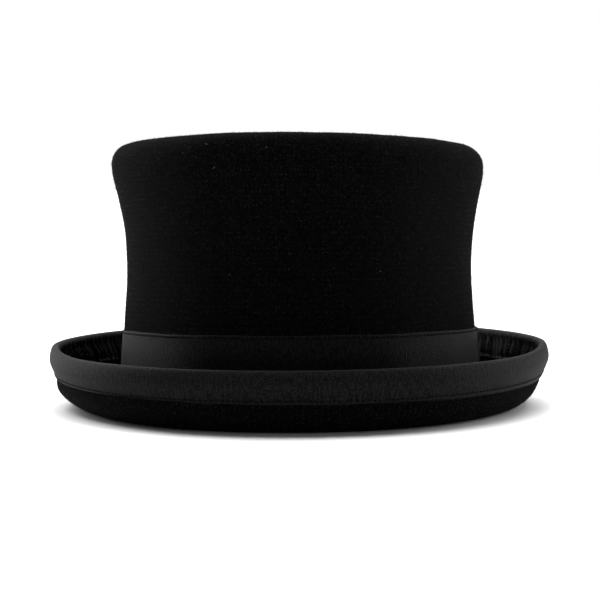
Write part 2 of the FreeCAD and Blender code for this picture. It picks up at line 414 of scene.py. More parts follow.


# Woven cloth on a piece's own round map: ribs or floats across it and a fine thread over them. The lighter
# colour on the raised parts of this relief is a painted highlight.
def makeWoven(name, look):
    material, tree = newMaterial(name)
    along = addNode(tree, "UVMap", {"uv_map": "round"}).outputs["UV"]
    drawn = addNode(tree, "Mapping", inputs={
        "Vector": along, "Scale": (1 / (look["rib"] * mm), 1 / (look["ribLength"] * mm), 1)})
    ribs = addNode(tree, "TexNoise", inputs={
        "Vector": drawn.outputs["Vector"], "Scale": 1.0, "Detail": 1.0, "Roughness": 0.4})
    thread = addNode(tree, "TexNoise", inputs={
        "Vector": along, "Scale": 1 / (look["thread"] * mm), "Detail": 2.0, "Roughness": 0.65})
    relief = addNode(tree, "Math", {"operation": "MULTIPLY_ADD"}, {
        0: thread.outputs["Fac"], 1: look["threadShare"], 2: ribs.outputs["Fac"]})
    middle = 0.5 + 0.5 * look["threadShare"]
    amount = addNode(tree, "MapRange", inputs={
        "Value": relief.outputs["Value"], "From Min": middle - 0.22, "From Max": middle + 0.22})
    # painted highlight: the raised relief gets the lighter colour, the low relief keeps the body colour
    colour = addNode(tree, "MixRGB", inputs={
        "Fac": amount.outputs["Result"], "Color1": hexColour(look["body"]),
        "Color2": hexColour(look["raisedHighlight"])})
    ribbed = addNode(tree, "Bump", inputs={
        "Height": relief.outputs["Value"], "Strength": look["relief"], "Distance": 0.25 * mm})
    shader = addNode(tree, "BsdfPrincipled", inputs={
        "Base Color": colour.outputs["Color"], "Roughness": look["roughness"], "IOR": 1.47,
        "Specular IOR Level": look["gloss"], "Sheen Weight": look["sheen"], "Sheen Roughness": 0.4,
        "Sheen Tint": hexColour("#8c8c92"), "Normal": ribbed.outputs["Normal"]})
    addNode(tree, "OutputMaterial", inputs={"Surface": shader.outputs["BSDF"]})
    return material


# Rayon and cotton grosgrain: raised ribs across the ribbon that catch the light softly, and whose raised tops
# carry a painted highlight, so it is a shade lighter than the felt. Ribs are about 0.6 mm in truth, drawn at
# 0.9 so that they show.
grosgrain = makeWoven("grosgrainWoven", {
    "body": "#030303", "raisedHighlight": "#171718", "rib": 0.9, "ribLength": 3.0, "thread": 0.8, "threadShare": 2.0,
    "relief": 0.8, "roughness": 0.66, "gloss": 0.05, "sheen": 0.037})

# Viscose satin: long smooth floats that give the lining its bright soft folds
liningSatin = makeWoven("viscoseSatinWoven", {
    "body": "#121213", "raisedHighlight": "#1d1d20", "rib": 0.5, "ribLength": 6.0, "thread": 0.5, "threadShare": 0.3,
    "relief": 0.2, "roughness": 0.32, "gloss": 0.6, "sheen": 0.1})

# Cotton tape: a dull open weave, unbleached
cottonTape = makeWoven("cottonTapeWoven", {
    "body": "#c9c5ba", "raisedHighlight": "#e6e3da", "rib": 0.6, "ribLength": 0.9, "thread": 0.5, "threadShare": 0.8,
    "relief": 0.7, "roughness": 0.9, "gloss": 0.2, "sheen": 0.1})


# Spun polyester sewing thread: plies with a slight twist, black with hardly any gloss
def makeThread():
    material, tree = newMaterial("sewingThreadTwisted")
    place = addNode(tree, "TexCoord").outputs["Object"]
    ply = addNode(tree, "TexNoise", inputs={
        "Vector": place, "Scale": 1 / (0.4 * mm), "Detail": 2.0})
    colour = addNode(tree, "MixRGB", inputs={
        "Fac": ply.outputs["Fac"], "Color1": hexColour("#010101"), "Color2": hexColour("#080808")})
    twist = addNode(tree, "Bump", inputs={
        "Height": ply.outputs["Fac"], "Strength": 0.5, "Distance": 0.1 * mm})
    shader = addNode(tree, "BsdfPrincipled", inputs={
        "Base Color": colour.outputs["Color"], "Roughness": 0.8, "IOR": 1.5, "Specular IOR Level": 0.03,
        "Normal": twist.outputs["Normal"]})
    addNode(tree, "OutputMaterial", inputs={"Surface": shader.outputs["BSDF"]})
    return material


# A surface on object coordinates: two tones and a relief of one grain size, stretched if wanted
def makeSolid(name, look):
    material, tree = newMaterial(name)
    place = addNode(tree, "TexCoord").outputs["Object"]
    kind, output = ("Voronoi", "Distance") if look["pebbled"] else ("Noise", "Fac")
    grain = addNode(tree, "Tex" + kind, inputs={
        "Vector": place, "Scale": 1 / (look["grain"] * mm)})
    value = grain.outputs[output]
    wear = addNode(tree, "TexNoise", inputs={
        "Vector": place, "Scale": 1 / (look["wear"] * mm), "Detail": 3.0})
    tone = addNode(tree, "Math", {"operation": "MULTIPLY_ADD"}, {
        0: value, 1: 0.4, 2: wear.outputs["Fac"]})
    amount = addNode(tree, "MapRange", inputs={
        "Value": tone.outputs["Value"], "From Min": 0.4, "From Max": 0.9})
    colour = addNode(tree, "MixRGB", inputs={
        "Fac": amount.outputs["Result"], "Color1": hexColour(look["dark"]),
        "Color2": hexColour(look["light"])})
    dull = addNode(tree, "MapRange", inputs={
        "Value": wear.outputs["Fac"], "To Min": look["roughness"] - 0.08,
        "To Max": look["roughness"] + 0.1})
    relief = addNode(tree, "Bump", inputs={
        "Height": value, "Strength": look["relief"], "Distance": 0.2 * mm})
    shader = addNode(tree, "BsdfPrincipled", inputs={
        "Base Color": colour.outputs["Color"], "Metallic": look["metallic"],
        "Roughness": dull.outputs["Result"], "IOR": 1.5, "Normal": relief.outputs["Normal"]})
    addNode(tree, "OutputMaterial", inputs={"Surface": shader.outputs["BSDF"]})
    return material


# Vegetable-tanned sweatband leather, glazed: a fine pebble, dark brown, darker where it is handled
sweatbandLeather = makeSolid("sweatbandLeatherGlazed", {
    "dark": "#241c17", "light": "#3a2e26", "grain": 0.8, "pebbled": True, "wear": 22.0, "roughness": 0.42,
    "relief": 0.5, "metallic": 0.0})

# Reed tube with a black vinyl coat: smooth, a soft highlight along it
coatedReed = makeSolid("coatedReedExtruded", {
    "dark": "#121212", "light": "#1c1c1c", "grain": 0.6, "pebbled": False, "wear": 8.0, "roughness": 0.38,
    "relief": 0.15, "metallic": 0.0})

# Drawn spring steel: grey with fine drawing marks
springSteel = makeSolid("springSteelDrawn", {
    "dark": "#8c8e90", "light": "#b4b6b8", "grain": 0.3, "pebbled": False, "wear": 6.0, "roughness": 0.3,
    "relief": 0.2, "metallic": 1.0})

# Drawn brass tube, a little tarnished
drawnBrass = makeSolid("brassTubeDrawn", {
    "dark": "#9a7c3c", "light": "#d2b062", "grain": 0.3, "pebbled": False, "wear": 4.0, "roughness": 0.3,
    "relief": 0.2, "metallic": 1.0})

# Narrow satin ribbon of the bow: close floats, soft shine
bowRibbon = makeSolid("satinRibbonWoven", {
    "dark": "#0e0e0f", "light": "#1c1c1e", "grain": 0.4, "pebbled": False, "wear": 3.0, "roughness": 0.4,
    "relief": 0.4, "metallic": 0.0})

# Cotton lint: loose pale fibre, dull
paleLint = makeSolid("cottonLintLoose", {
    "dark": "#3c3c3c", "light": "#6a6a6a", "grain": 0.3, "pebbled": False, "wear": 2.0, "roughness": 0.9,
    "relief": 0.2, "metallic": 0.0})

# Single wool fibres of the nap: dyed black like the felt, a shade lighter where they catch light
napFibre = makeSolid("woolFibreDyed", {
    "dark": "#040404", "light": "#161617", "grain": 1.5, "pebbled": False, "wear": 4.0, "roughness": 0.85,
    "relief": 0.1, "metallic": 0.0})

woolFelt = makeWoolFelt()
sewingThread = makeThread()


studio = {"distance": 1000.0, "eyeHeight": 106.0, "lens": 125.4, "down": 3.23, "roll": 0.45, "aside": 0.72,
          "overhead": 6.6, "overheadSpread": 80.0, "overheadBack": 28.0, "overheadAside": 5.0, "room": 0.09,
          "sideLeft": 8.6, "leftBack": 0.8, "sideRight": 5.6, "rightBack": 0.4, "sideHeight": 0.32,
          "sideOut": 0.95, "fill": 1.6, "fillAside": 0.5, "fillHeight": 0.3, "fillAhead": 1.05,
          "softboxWide": 0.5, "softboxLong": 0.7, "softboxTilt": 78.0}


def makeStudio():
    clearSelection()
    bpy.ops.mesh.primitive_plane_add(size=60, location=(0, 0, 0))
    floor = bpy.context.object
    floor.name = "studioFloor"
    material, tree = newMaterial("paintedFloorMatt")
    shader = addNode(tree, "BsdfPrincipled", inputs={
        "Base Color": hexColour("#f5f5f5"), "Roughness": 0.9, "Specular IOR Level": 0.0})
    addNode(tree, "OutputMaterial", inputs={"Surface": shader.outputs["BSDF"]})
    floor.data.materials.append(material)

    world = bpy.data.worlds.new("studioWorld")
    bpy.context.scene.world = world
    world.use_nodes = True
    tree = world.node_tree
    tree.nodes.clear()
    seen = addNode(tree, "LightPath").outputs["Is Camera Ray"]
    wall = addNode(tree, "Background", inputs={"Color": (1, 1, 1, 1), "Strength": 1.0})
    room = addNode(tree, "Background", inputs={"Color": (1, 1, 1, 1), "Strength": studio["room"]})
    both = addNode(tree, "MixShader", inputs={
        0: seen, 1: room.outputs["Background"], 2: wall.outputs["Background"]})
    addNode(tree, "OutputWorld", inputs={"Surface": both.outputs["Shader"]})

    # one very wide overhead light, behind the hat and a little to the wearer's right
    bpy.ops.object.light_add(type="SUN", location=(0, 0.6, 2), rotation=(
        math.radians(-studio["overheadBack"]), math.radians(-studio["overheadAside"]), 0))
    overhead = bpy.context.object
    overhead.name = "overhead"
    overhead.data.energy = studio["overhead"]
    overhead.data.angle = math.radians(studio["overheadSpread"])

    out, high = studio["sideOut"], studio["sideHeight"]
    softboxes = (("Left", -out, studio["leftBack"], high, studio["sideLeft"]),
                 ("Right", out, studio["rightBack"], high, studio["sideRight"]),
                 ("Front", studio["fillAside"], -studio["fillAhead"], studio["fillHeight"], studio["fill"]))
    for name, x, y, z, power in softboxes:
        bpy.ops.object.light_add(type="AREA", location=(x, y, z))
        softbox = bpy.context.object
        softbox.name = "softbox" + name
        softbox.data.shape = "RECTANGLE"
        softbox.data.size = studio["softboxWide"]
        softbox.data.size_y = studio["softboxLong"]
        softbox.data.energy = power
        softbox.rotation_euler = (math.radians(studio["softboxTilt"]), 0, math.atan2(x, -y))

    bpy.ops.object.camera_add(
        location=(studio["aside"] * mm, -studio["distance"] * mm, studio["eyeHeight"] * mm))
    camera = bpy.context.object
    camera.name = "camera"
    camera.rotation_euler = (math.radians(90 - studio["down"]), math.radians(studio["roll"]), 0)
    camera.data.lens = studio["lens"]
    bpy.context.scene.camera = camera
    bpy.context.scene.view_settings.view_transform = "Standard"


makeStudio()
print("studio ready")


def crownMoves(foot, thick):
    return [((crown["straight"] - foot) / taperCos, 22),
            (crown["waist"] + thick, -crown["taper"] - crown["flare"], 18),
            (crown["flareRun"], 5),
            (crown["shoulder"] - thick, crown["flare"], 5),
            (crown["tipEdge"] - thick, 90, 10)]


crownLook = {"foot": 2.0, "spacing": 1.9, "level": 8.0, "dome": 2.0, "tipRun": 42.0, "tipLonger": 20.0,
             "unevenSize": 34.0, "uneven": 0.7}


# The soft dome of the flat of the tip
def domeTip(piece):
    top = max(v.co.z for v in piece.data.vertices)
    width = max(v.co.x for v in piece.data.vertices if v.co.z > top - 0.5 * mm)
    for v in piece.data.vertices:
        if v.co.z > top - 2 * mm:
            length = width + crownLook["tipLonger"] * mm
            middle = 1 - min(1, math.hypot(v.co.x / width, v.co.y / length) ** 2)
            v.co.z += crownLook["dome"] * mm * middle ** 1.2


def makeCrownFelt():
    foot = crownLook["foot"]
    moves = crownMoves(foot, 0) + [(crownLook["tipRun"], 14)]
    drawSection("crownFelt", wallHalfWidth(foot), foot, 90 + crown["taper"], moves)
    piece = sweepRound(2 * crownLook["spacing"], cuts=1)
    closeTip(piece)
    domeTip(piece)
    settleCrown(piece)
    leanBack(piece)
    editWhole()
    bpy.ops.mesh.bisect(plane_co=(0, 0, crownLook["level"] * mm), plane_no=(0, 0, 1), clear_inner=True)
    leaveEdit()
    addModifier(piece, "SOLIDIFY", thickness=crown["felt"] * mm, offset=-1, use_even_offset=True)
    unevenness(piece, crownLook["unevenSize"], crownLook["uneven"])
    smooth(piece)
    finishPiece(piece, "felt", woolFelt, "crown_felt")
    return piece


crownFelt = makeCrownFelt()
print("crown felt", len(crownFelt.data.polygons))


brimLook = {"spacing": 3.8, "unevenSize": 40.0, "uneven": 0.3}


def makeBrimFelt():
    felt = crown["felt"]
    collar = brim["collarTop"] - brim["breakRadius"]
    out = [(collar, 2), (brim["breakRadius"], 90, 7), (brim["flat"], 6),
           (brim["rollRadius"], wallHeading, 16), (brim["wall"], 7),
           (brim["curlRadius"], brim["curlAngle"], 8)]
    rim = [(90,), (felt, 3), (90,)]
    back = [(brim["curlRadius"] - felt, -brim["curlAngle"], 8), (brim["wall"], 7),
            (brim["rollRadius"] - felt, -wallHeading, 16), (brim["flat"], 6),
            (brim["breakRadius"] - felt, -90, 5), (collar, 2), (90,), (felt, 2)]
    drawSection("brimFelt", brimInner, brim["collarTop"], -90, out + rim + back)
    piece = sweepRound(brimLook["spacing"], cuts=1)
    shapeWall(piece, settleBrim)
    unevenness(piece, brimLook["unevenSize"], brimLook["uneven"])
    for v in piece.data.vertices:
        v.co.z = max(v.co.z, 0)
    smooth(piece)
    finishPiece(piece, "felt", woolFelt, "brim_felt")
    return piece


brimFelt = makeBrimFelt()
print("brim felt", len(brimFelt.data.polygons))


binding = {"ribbon": 0.8, "outside": 8.7, "inside": 7.5, "spacing": 0.7, "stitchInset": 1.35, "groove": 0.3,
           "puff": 0.3, "gather": 3.8, "gatherDepth": 2.6, "slant": 0.3, "lineWidth": 0.4, "footLift": 0.8,
           "endLift": 1.6, "footSag": 0.7, "footWaver": 0.2, "liftOut": 0.28, "lineDrift": 0.5}
bindingFoot = ahead(*wallHead, wallHeading, -binding["outside"])
bindingLine = ahead(*ahead(*wallHead, wallHeading + 90, crown["felt"] + binding["ribbon"]),
                    wallHeading + 180, binding["inside"] - binding["stitchInset"])


# Gathers of uneven width and depth round the rim: where each begins, and how deep it is
def layGathers(seed):
    chance = random.Random(seed)
    edges = [0.0]
    while edges[-1] < roundLength(rimOut) - 1.5 * binding["gather"]:
        edges.append(edges[-1] + binding["gather"] * chance.uniform(0.6, 1.45))
    edges.append(roundLength(rimOut))
    return edges, [chance.uniform(0.4, 1.2) for edge in edges]


# How far the binding's foot rises at the two sides; it sags a little at the front left
def footRise(facing):
    right = max(0, -math.cos(facing))
    sag = binding["footSag"] * max(0, -math.sin(2 * facing)) if math.cos(facing) > 0 else 0
    return binding["footLift"] * right ** 3 + binding["endLift"] * math.cos(facing) ** 12 - sag


# The outer row of stitches, measured from the binding's foot
def outerInset(facing):
    return binding["stitchInset"] + binding["lineDrift"] * math.cos(facing)


def makeBinding():
    thick, felt = binding["ribbon"], crown["felt"]
    curl, turn = brim["curlRadius"], brim["curlAngle"]
    outside = [(binding["outside"], 14), (curl + thick, turn, 9), (felt / 2 + thick, 180, 12),
               (curl - felt - thick, -turn, 8), (binding["inside"], 12), (90,), (thick, 1), (90,)]
    inside = [(binding["inside"], 3), (curl - felt, turn, 4), (felt / 2, -180, 5),
              (curl, -turn, 4), (binding["outside"], 3), (90,), (thick, 1)]
    start = ahead(*bindingFoot, wallHeading - 90, thick)
    drawSection("brimBinding", *start, wallHeading, outside + inside)
    piece = sweepRound(5 * binding["spacing"] * sideRadius / (sideRadius + rimOut), cuts=4)

    edges, depths = layGathers(7)
    slope = math.radians(wallHeading)
    innerTop = ahead(*curlCentre, wallHeading + brim["curlAngle"] - 90, curl - felt)[1]
    gather = 0

    def shape(facing, out, height):
        nonlocal gather
        x = out + oval["halfWidth"]
        # how far up the wall from the ribbon's outer edge, and how far out of the felt's face
        up = (x - bindingFoot[0]) * math.cos(slope) + (height - bindingFoot[1]) * math.sin(slope)
        proud = (x - bindingFoot[0]) * math.sin(slope) - (height - bindingFoot[1]) * math.cos(slope)
        waver = math.sin(facing * 5 + 0.6) + 0.6 * math.sin(facing * 11 + 2.0) + 0.4 * math.sin(facing * 23)
        if proud > -0.3:
            lift = binding["footWaver"] * waver * max(0, 1 - up / 8) + footRise(facing) * (1 - easeIn(up / 7))
            out += binding["liftOut"] * lift
            height += lift
        if proud > 0.3:
            # outside, the ribbon puffs over the felt and is pulled in along its stitches
            line = outerInset(facing)
            rise = binding["puff"] * math.sin(min(max((up - line) / 11, 0), 1) * math.pi)
            rise -= binding["groove"] * math.exp(-((up - line) / binding["lineWidth"]) ** 2)
            out += rise * math.sin(slope)
            height -= rise * math.cos(slope)
        elif proud < -felt - 0.3 and height < innerTop + 3:
            # inside, the curve is tighter and the ribbon lies in slanted gathers that deepen downwards
            down = innerTop - height
            along = lengthTo(facing, rimOut) + binding["slant"] * down * (1 + 0.6 * math.sin(2 * facing))
            along %= edges[-1]
            while not edges[gather] <= along < edges[gather + 1]:
                gather = (gather + 1) % (len(edges) - 1)
            across = (along - edges[gather]) / (edges[gather + 1] - edges[gather])
            fold = math.sin(across ** 1.3 * math.pi) ** 0.8 * depths[gather]
            sewn = 1 - 0.6 * math.exp(-((height - bindingLine[1]) / 0.9) ** 2)
            rise = binding["gatherDepth"] * easeIn((down + 3) / 10) * fold * sewn
            out -= rise * math.sin(slope)
            height += rise * math.cos(slope) + 0.5 * easeIn(down / 12) * (fold - 0.5)
        else:
            height += 0.07 * math.sin(lengthTo(facing, rimOut) * 1.9) * easeIn((height - 27) / 2)
        return settleBrim(facing, out, height)

    shapeWall(piece, shape)
    unwrapRound(piece, rimOut)
    smooth(piece, 60)
    finishPiece(piece, "ribbon", grosgrain, "brim_binding")
    roundLength(rimOut) * mm
    return piece


brimBinding = makeBinding()
print("binding", len(brimBinding.data.polygons))


band = {"ribbon": 0.8, "top": 36.0, "foot": 3.4, "spacing": 0.95, "stitchInset": 0.85, "groove": 0.26,
        "lineWidth": 0.35, "join": 14.0}


# The lower edge sits level on the brim though the crown leans back
def footLevel(facing, out, height):
    low = band["foot"] + roll(facing, out)[1] * leanSine
    return low + (height - band["foot"]) * (band["top"] - low) / (band["top"] - band["foot"])


def makeCrownBand():
    thick, foot = band["ribbon"], band["foot"]
    rise = (band["top"] - foot) / taperCos
    start = ahead(wallHalfWidth(foot), foot, crown["taper"], thick)
    drawSection("crownBand", *start, 90 + crown["taper"], [
        (rise - 3, 12), (3, 14), (thick / 2, 180, 6), (rise, 6), (90,), (thick, 1)])
    piece = sweepRound(3 * band["spacing"], cuts=2)

    def shape(facing, out, height):
        proud = out + oval["halfWidth"] - wallHalfWidth(height)
        if proud > 0.3:
            line = band["top"] - band["stitchInset"]
            out -= band["groove"] * math.exp(-((height - line) / band["lineWidth"]) ** 2)
            wave = 0.14 * math.sin(facing * 7) * math.sin(height / 9)
            out += wave + 0.08 * math.sin(facing * 17 + height / 6)
        height = footLevel(facing, out, height) + 0.14 * math.sin(facing * 9 + 1)
        height += 0.08 * math.sin(facing * 31)
        return facing, out, height

    shapeWall(piece, shape)
    unwrapRound(piece, 0)
    leanBack(piece)
    smooth(piece, 60)
    finishPiece(piece, "ribbon", grosgrain, "crown_band")
    roundLength(0) * mm
    return piece


crownBand = makeCrownBand()
print("crown band", len(crownBand.data.polygons))


# The tab that covers the band's ends: a short ribbon, turned under at its front and back edges
def makeBandJoin():
    thick, foot, top = band["ribbon"], band["foot"] + 0.4, band["top"] - 0.1
    rise = (top - foot) / taperCos
    start = ahead(wallHalfWidth(foot), foot, crown["taper"], 1.6 * thick)
    drawSection("bandJoin", *start, 90 + crown["taper"], [
        (rise - 3, 9), (3, 6), (0.3 * thick, 180, 4), (rise, 6), (90,), (0.6 * thick, 1)])
    mergeWhole()
    bpy.ops.mesh.edge_face_add()
    angle = band["join"] / sideRadius
    bpy.ops.mesh.spin(steps=16, angle=-angle, center=(-sideCentre * mm, 0, 0), axis=(0, 0, 1))
    mergeWhole()
    turnOutwards()
    piece = bpy.context.object

    def shape(facing, out, height):
        facing = facing if facing < math.pi else facing - fullTurn
        across = abs(facing / angle - 0.5) * 2
        # the turned-under edges stand a little proud, and the ends of the tab pull in
        if out + oval["halfWidth"] > wallHalfWidth(height) + 1.2 * thick:
            out += 0.2 * math.exp(-((across - 0.8) / 0.15) ** 2) - 0.3 * easeIn((across - 0.85) / 0.15)
        facing = (facing / angle - 0.5) * angle * (1 - 0.05 * math.sin(height / 36 * math.pi))
        return facing, out, footLevel(facing, out, height)

    shapeWall(piece, shape)
    unwrapRound(piece, 0)
    leanBack(piece)
    smooth(piece, 50)
    finishPiece(piece, "ribbon", grosgrain, "band_join")
    return piece


bandJoin = makeBandJoin()


stitch = {"length": 1.7, "pitch": 2.5, "radius": 0.28, "slant": 4.0}


# Sews a row of stitches round the head, at a distance outside the oval and a height
def sewRow(name, out, height, seed, skip=None, settle=None):
    chance = random.Random(seed)
    clearSelection()
    bpy.ops.mesh.primitive_uv_sphere_add(segments=6, ring_count=4, radius=stitch["radius"] * mm,
                                         rotation=(0, math.radians(90), 0))
    single = bpy.context.object
    applyPlace()
    single.scale = (stitch["length"] / 2 / stitch["radius"], 1, 0.9)
    applyPlace()
    bpy.ops.object.shade_smooth()
    row = []
    count = round(roundLength(out) / stitch["pitch"])
    for number in range(count):
        along = roundLength(out) * (number + chance.uniform(-0.06, 0.06)) / count
        facing = facingAt(along % roundLength(out), out)
        if skip and skip(facing):
            continue
        place = settle(facing, out, height) if settle else (facing, out, height)
        x, y = roll(place[0], place[1])
        each = single.copy()
        each.data = single.data.copy()
        each.location = (x * mm, y * mm, (place[2] + chance.uniform(-0.06, 0.06)) * mm)
        each.rotation_euler = (0, math.radians(chance.gauss(stitch["slant"], 2.5)), facing + math.pi / 2)
        bpy.context.collection.objects.link(each)
        row.append(each)
    bpy.data.objects.remove(single)
    return joinAll(name, row)


def joinAll(name, pieces):
    clearSelection()
    for each in pieces:
        each.select_set(True)
    bpy.context.view_layer.objects.active = pieces[0]
    bpy.ops.object.join()
    piece = bpy.context.object
    applyPlace()
    piece.name = name
    return piece


def underJoin(facing):
    return min(facing, fullTurn - facing) < band["join"] / sideRadius / 2


# The outer row follows the binding's foot, which rises at both sides
def settleLine(facing, out, height):
    lift = footRise(facing) * (1 - easeIn(outerInset(facing) / 7))
    drift = outerInset(facing) - binding["stitchInset"]
    slope = math.radians(wallHeading)
    out += binding["liftOut"] * lift + drift * math.cos(slope)
    return settleBrim(facing, out, height + lift + drift * math.sin(slope))


def sewAll():
    line = band["top"] - band["stitchInset"]
    out = wallHalfWidth(line) + band["ribbon"] - oval["halfWidth"] + 0.05
    bandRow = sewRow("bandStitches", out, line, 3, skip=underJoin)
    leanBack(bandRow)
    finishPiece(bandRow, "thread", sewingThread, "band_thread")
    face = ahead(*bindingFoot, wallHeading - 90, binding["ribbon"] + 0.05)
    lower = ahead(*face, wallHeading, binding["stitchInset"])
    outer = sewRow("outerStitches", lower[0] - oval["halfWidth"], lower[1], 4, settle=settleLine)
    inner = sewRow("innerStitches", bindingLine[0] - oval["halfWidth"] - 0.35, bindingLine[1], 5,
                   settle=settleBrim)
    bindingRows = joinAll("bindingStitches", [outer, inner])
    finishPiece(bindingRows, "thread", sewingThread, "binding_thread")


sewAll()
print("stitches sewn")


# The nap: loose fibres that stand out of the felt, each one a thin closed sliver
nap = {"length": 1.0, "width": 0.11, "rise": 0.4, "crown": 26000, "brim": 11000, "crownAbove": 34.0,
       "brimAbove": 1.0, "brimBelow": 17.0}


def makeNap(name, felt, count, seed):
    chance = random.Random(seed)
    mesh = felt.data

    def shows(face):
        facing, out = unroll(face.center.x / mm, face.center.y / mm)
        outward = face.normal.x * math.cos(facing) + face.normal.y * math.sin(facing)
        if felt == crownFelt:
            return face.center.z > nap["crownAbove"] * mm and (face.normal.z > 0.3 or outward > 0.3)
        on = nap["brimAbove"] * mm < face.center.z < nap["brimBelow"] * mm
        return on and outward > 0.05 and face.normal.z < 0.3

    faces = [face for face in mesh.polygons if shows(face)]
    points, sides = [], []
    for face in chance.choices(faces, weights=[face.area for face in faces], k=count):
        corners = [mesh.vertices[v].co for v in face.vertices]
        shares = [chance.random() + 0.01 for corner in corners]
        root = sum((corner * share for corner, share in zip(corners, shares)), Vector()) / sum(shares)
        way = Vector((chance.gauss(0, 1), chance.gauss(0, 1), chance.gauss(0, 1)))
        along = face.normal.cross(way).normalized()
        across = face.normal.cross(along) * nap["width"] / 2 * mm
        length = nap["length"] * chance.uniform(0.5, 1.3) * mm
        tip = root + along * length + face.normal * length * nap["rise"] * chance.uniform(0.1, 1.6)
        tip.z = max(tip.z, 0)
        base = len(points)
        points += [root - across, root + across, root + face.normal * nap["width"] * mm, tip]
        sides += [(base, base + 2, base + 1), (base, base + 1, base + 3),
                  (base + 1, base + 2, base + 3), (base + 2, base, base + 3)]
    blades = bpy.data.meshes.new(name)
    blades.from_pydata(points, [], sides)
    piece = bpy.data.objects.new(name, blades)
    bpy.context.collection.objects.link(piece)
    pick(piece)
    editWhole()
    turnOutwards()
    finishPiece(piece, "felt", napFibre)


makeNap("crownNap", crownFelt, nap["crown"], 21)
makeNap("brimNap", brimFelt, nap["brim"], 22)
print("nap raised")


# Specks of pale lint caught in the felt: facing in degrees, height and length
lint = {"radius": 0.08, "curl": 1.4, "specks": (
    (236, 122.7, 1.2), (239.5, 112.6, 1.7), (226, 119.0, 0.8), (259, 121.0, 0.8),
    (243, 66.0, 0.9), (302, 67.0, 0.9), (40, 95.0, 0.9), (140, 108.0, 0.8))}


def makeLint():
    chance = random.Random(11)
    specks = []
    for facing, height, length in lint["specks"]:
        clearSelection()
        bpy.ops.mesh.primitive_cylinder_add(vertices=5, radius=lint["radius"] * mm, depth=length * mm)
        speck = bpy.context.object
        editWhole()
        bpy.ops.mesh.subdivide(number_cuts=3)
        leaveEdit()
        for v in speck.data.vertices:
            share = v.co.z / (length * mm)
            v.co.x += lint["curl"] * length * mm * share * share
        turn = math.radians(facing)
        # the crown's face at this height, from a ray towards its middle
        x, y = roll(turn, 30)
        origin = (x * mm, y * mm, height * mm)
        hit, point, normal, face = crownFelt.ray_cast(origin, (-math.cos(turn), -math.sin(turn), 0))
        speck.location = [p + n * lint["radius"] * mm for p, n in zip(point, normal)]
        speck.rotation_euler = (chance.uniform(0.5, 2.4), chance.uniform(-0.2, 0.2), turn)
        specks.append(speck)
    piece = joinAll("lintSpecks", specks)
    finishPiece(piece, "thread", paleLint)


makeLint()


# The wire that stiffens the rim, inside the binding, and the sleeve that joins its ends
wire = {"radius": 0.45, "sleeveRadius": 0.62, "spacing": 2.4}


def makeBrimWire():
    middle = ahead(*rimMiddle, wallHeading + brim["curlAngle"], wire["sleeveRadius"])
    drawSection("brimWire", middle[0] + wire["radius"], middle[1], 90, [(wire["radius"], 360, 10)])
    piece = sweepRound(wire["spacing"])
    shapeWall(piece, settleBrim)
    smooth(piece)
    finishPiece(piece, "wire", springSteel, "brim_wire")


makeBrimWire()
frameSleeve = bpy.data.objects["wire_joiner"]
frameSleeve.data.materials.clear()
frameSleeve.data.materials.append(drawnBrass)


# Inside: a satin lining gathered to its tip, and a leather sweatband over its lower edge
lining = {"gap": 2.7, "satin": 0.3, "foot": 20.0, "fold": 13.0, "foldDepth": 0.9, "spacing": 1.6,
          "tipFoot": 30.0, "tipRun": 40.0, "tipSpacing": 2.4, "tipBelow": 0.35}
sweat = {"gap": 3.1, "leather": 1.2, "top": 34.0, "foot": 3.0, "stitchInset": 1.6, "spacing": 2.0,
         "reedRadius": 0.9, "reed": 2.0, "reedSpacing": 2.4}


def makeLiningSide():
    foot, gap = lining["foot"], lining["gap"]
    start = ahead(wallHalfWidth(foot), foot, 180 + crown["taper"], gap)
    drawSection("liningSide", *start, 90 + crown["taper"], crownMoves(foot, gap))
    piece = sweepRound(2 * lining["spacing"], cuts=1)

    def shape(facing, out, height):
        along = lengthTo(facing, 0) / lining["fold"] + 0.35 * math.sin(facing * 3)
        along += 0.02 * height / lining["fold"]
        fold = (0.5 + 0.5 * math.sin(along * fullTurn)) ** 1.6 * (0.7 + 0.3 * math.sin(facing * 4 + 1))
        fold *= easeIn((height - 36) / 16) * easeIn((122 - height) / 10)
        return facing, out - lining["foldDepth"] * fold, height

    shapeWall(piece, shape)
    settleCrown(piece)
    leanBack(piece)
    addModifier(piece, "SOLIDIFY", thickness=lining["satin"] * mm, offset=-1)
    unwrapRound(piece, 0)
    smooth(piece, 50)
    finishPiece(piece, "satin", liningSatin, "lining_side")


def makeLiningTip():
    foot, gap = lining["tipFoot"], lining["gap"]
    start = ahead(wallHalfWidth(foot), foot, 180 + crown["taper"], gap)
    moves = crownMoves(foot, gap) + [(lining["tipRun"], 14)]
    drawSection("liningTip", *start, 90 + crown["taper"], moves)
    piece = sweepRound(lining["tipSpacing"])
    closeTip(piece)
    top = max(v.co.z for v in piece.data.vertices)
    pick(piece)
    editWhole()
    bpy.ops.mesh.bisect(plane_co=(0, 0, top - lining["tipBelow"] * mm), plane_no=(0, 0, 1), clear_inner=True)
    leaveEdit()
    domeTip(piece)
    for v in piece.data.vertices:
        v.co.z -= lining["tipBelow"] * mm
    settleCrown(piece)
    leanBack(piece)
    addModifier(piece, "SOLIDIFY", thickness=lining["satin"] * mm, offset=-1)
    unwrapRound(piece, 0)
    smooth(piece, 50)
    finishPiece(piece, "satin", liningSatin, "lining_tip")


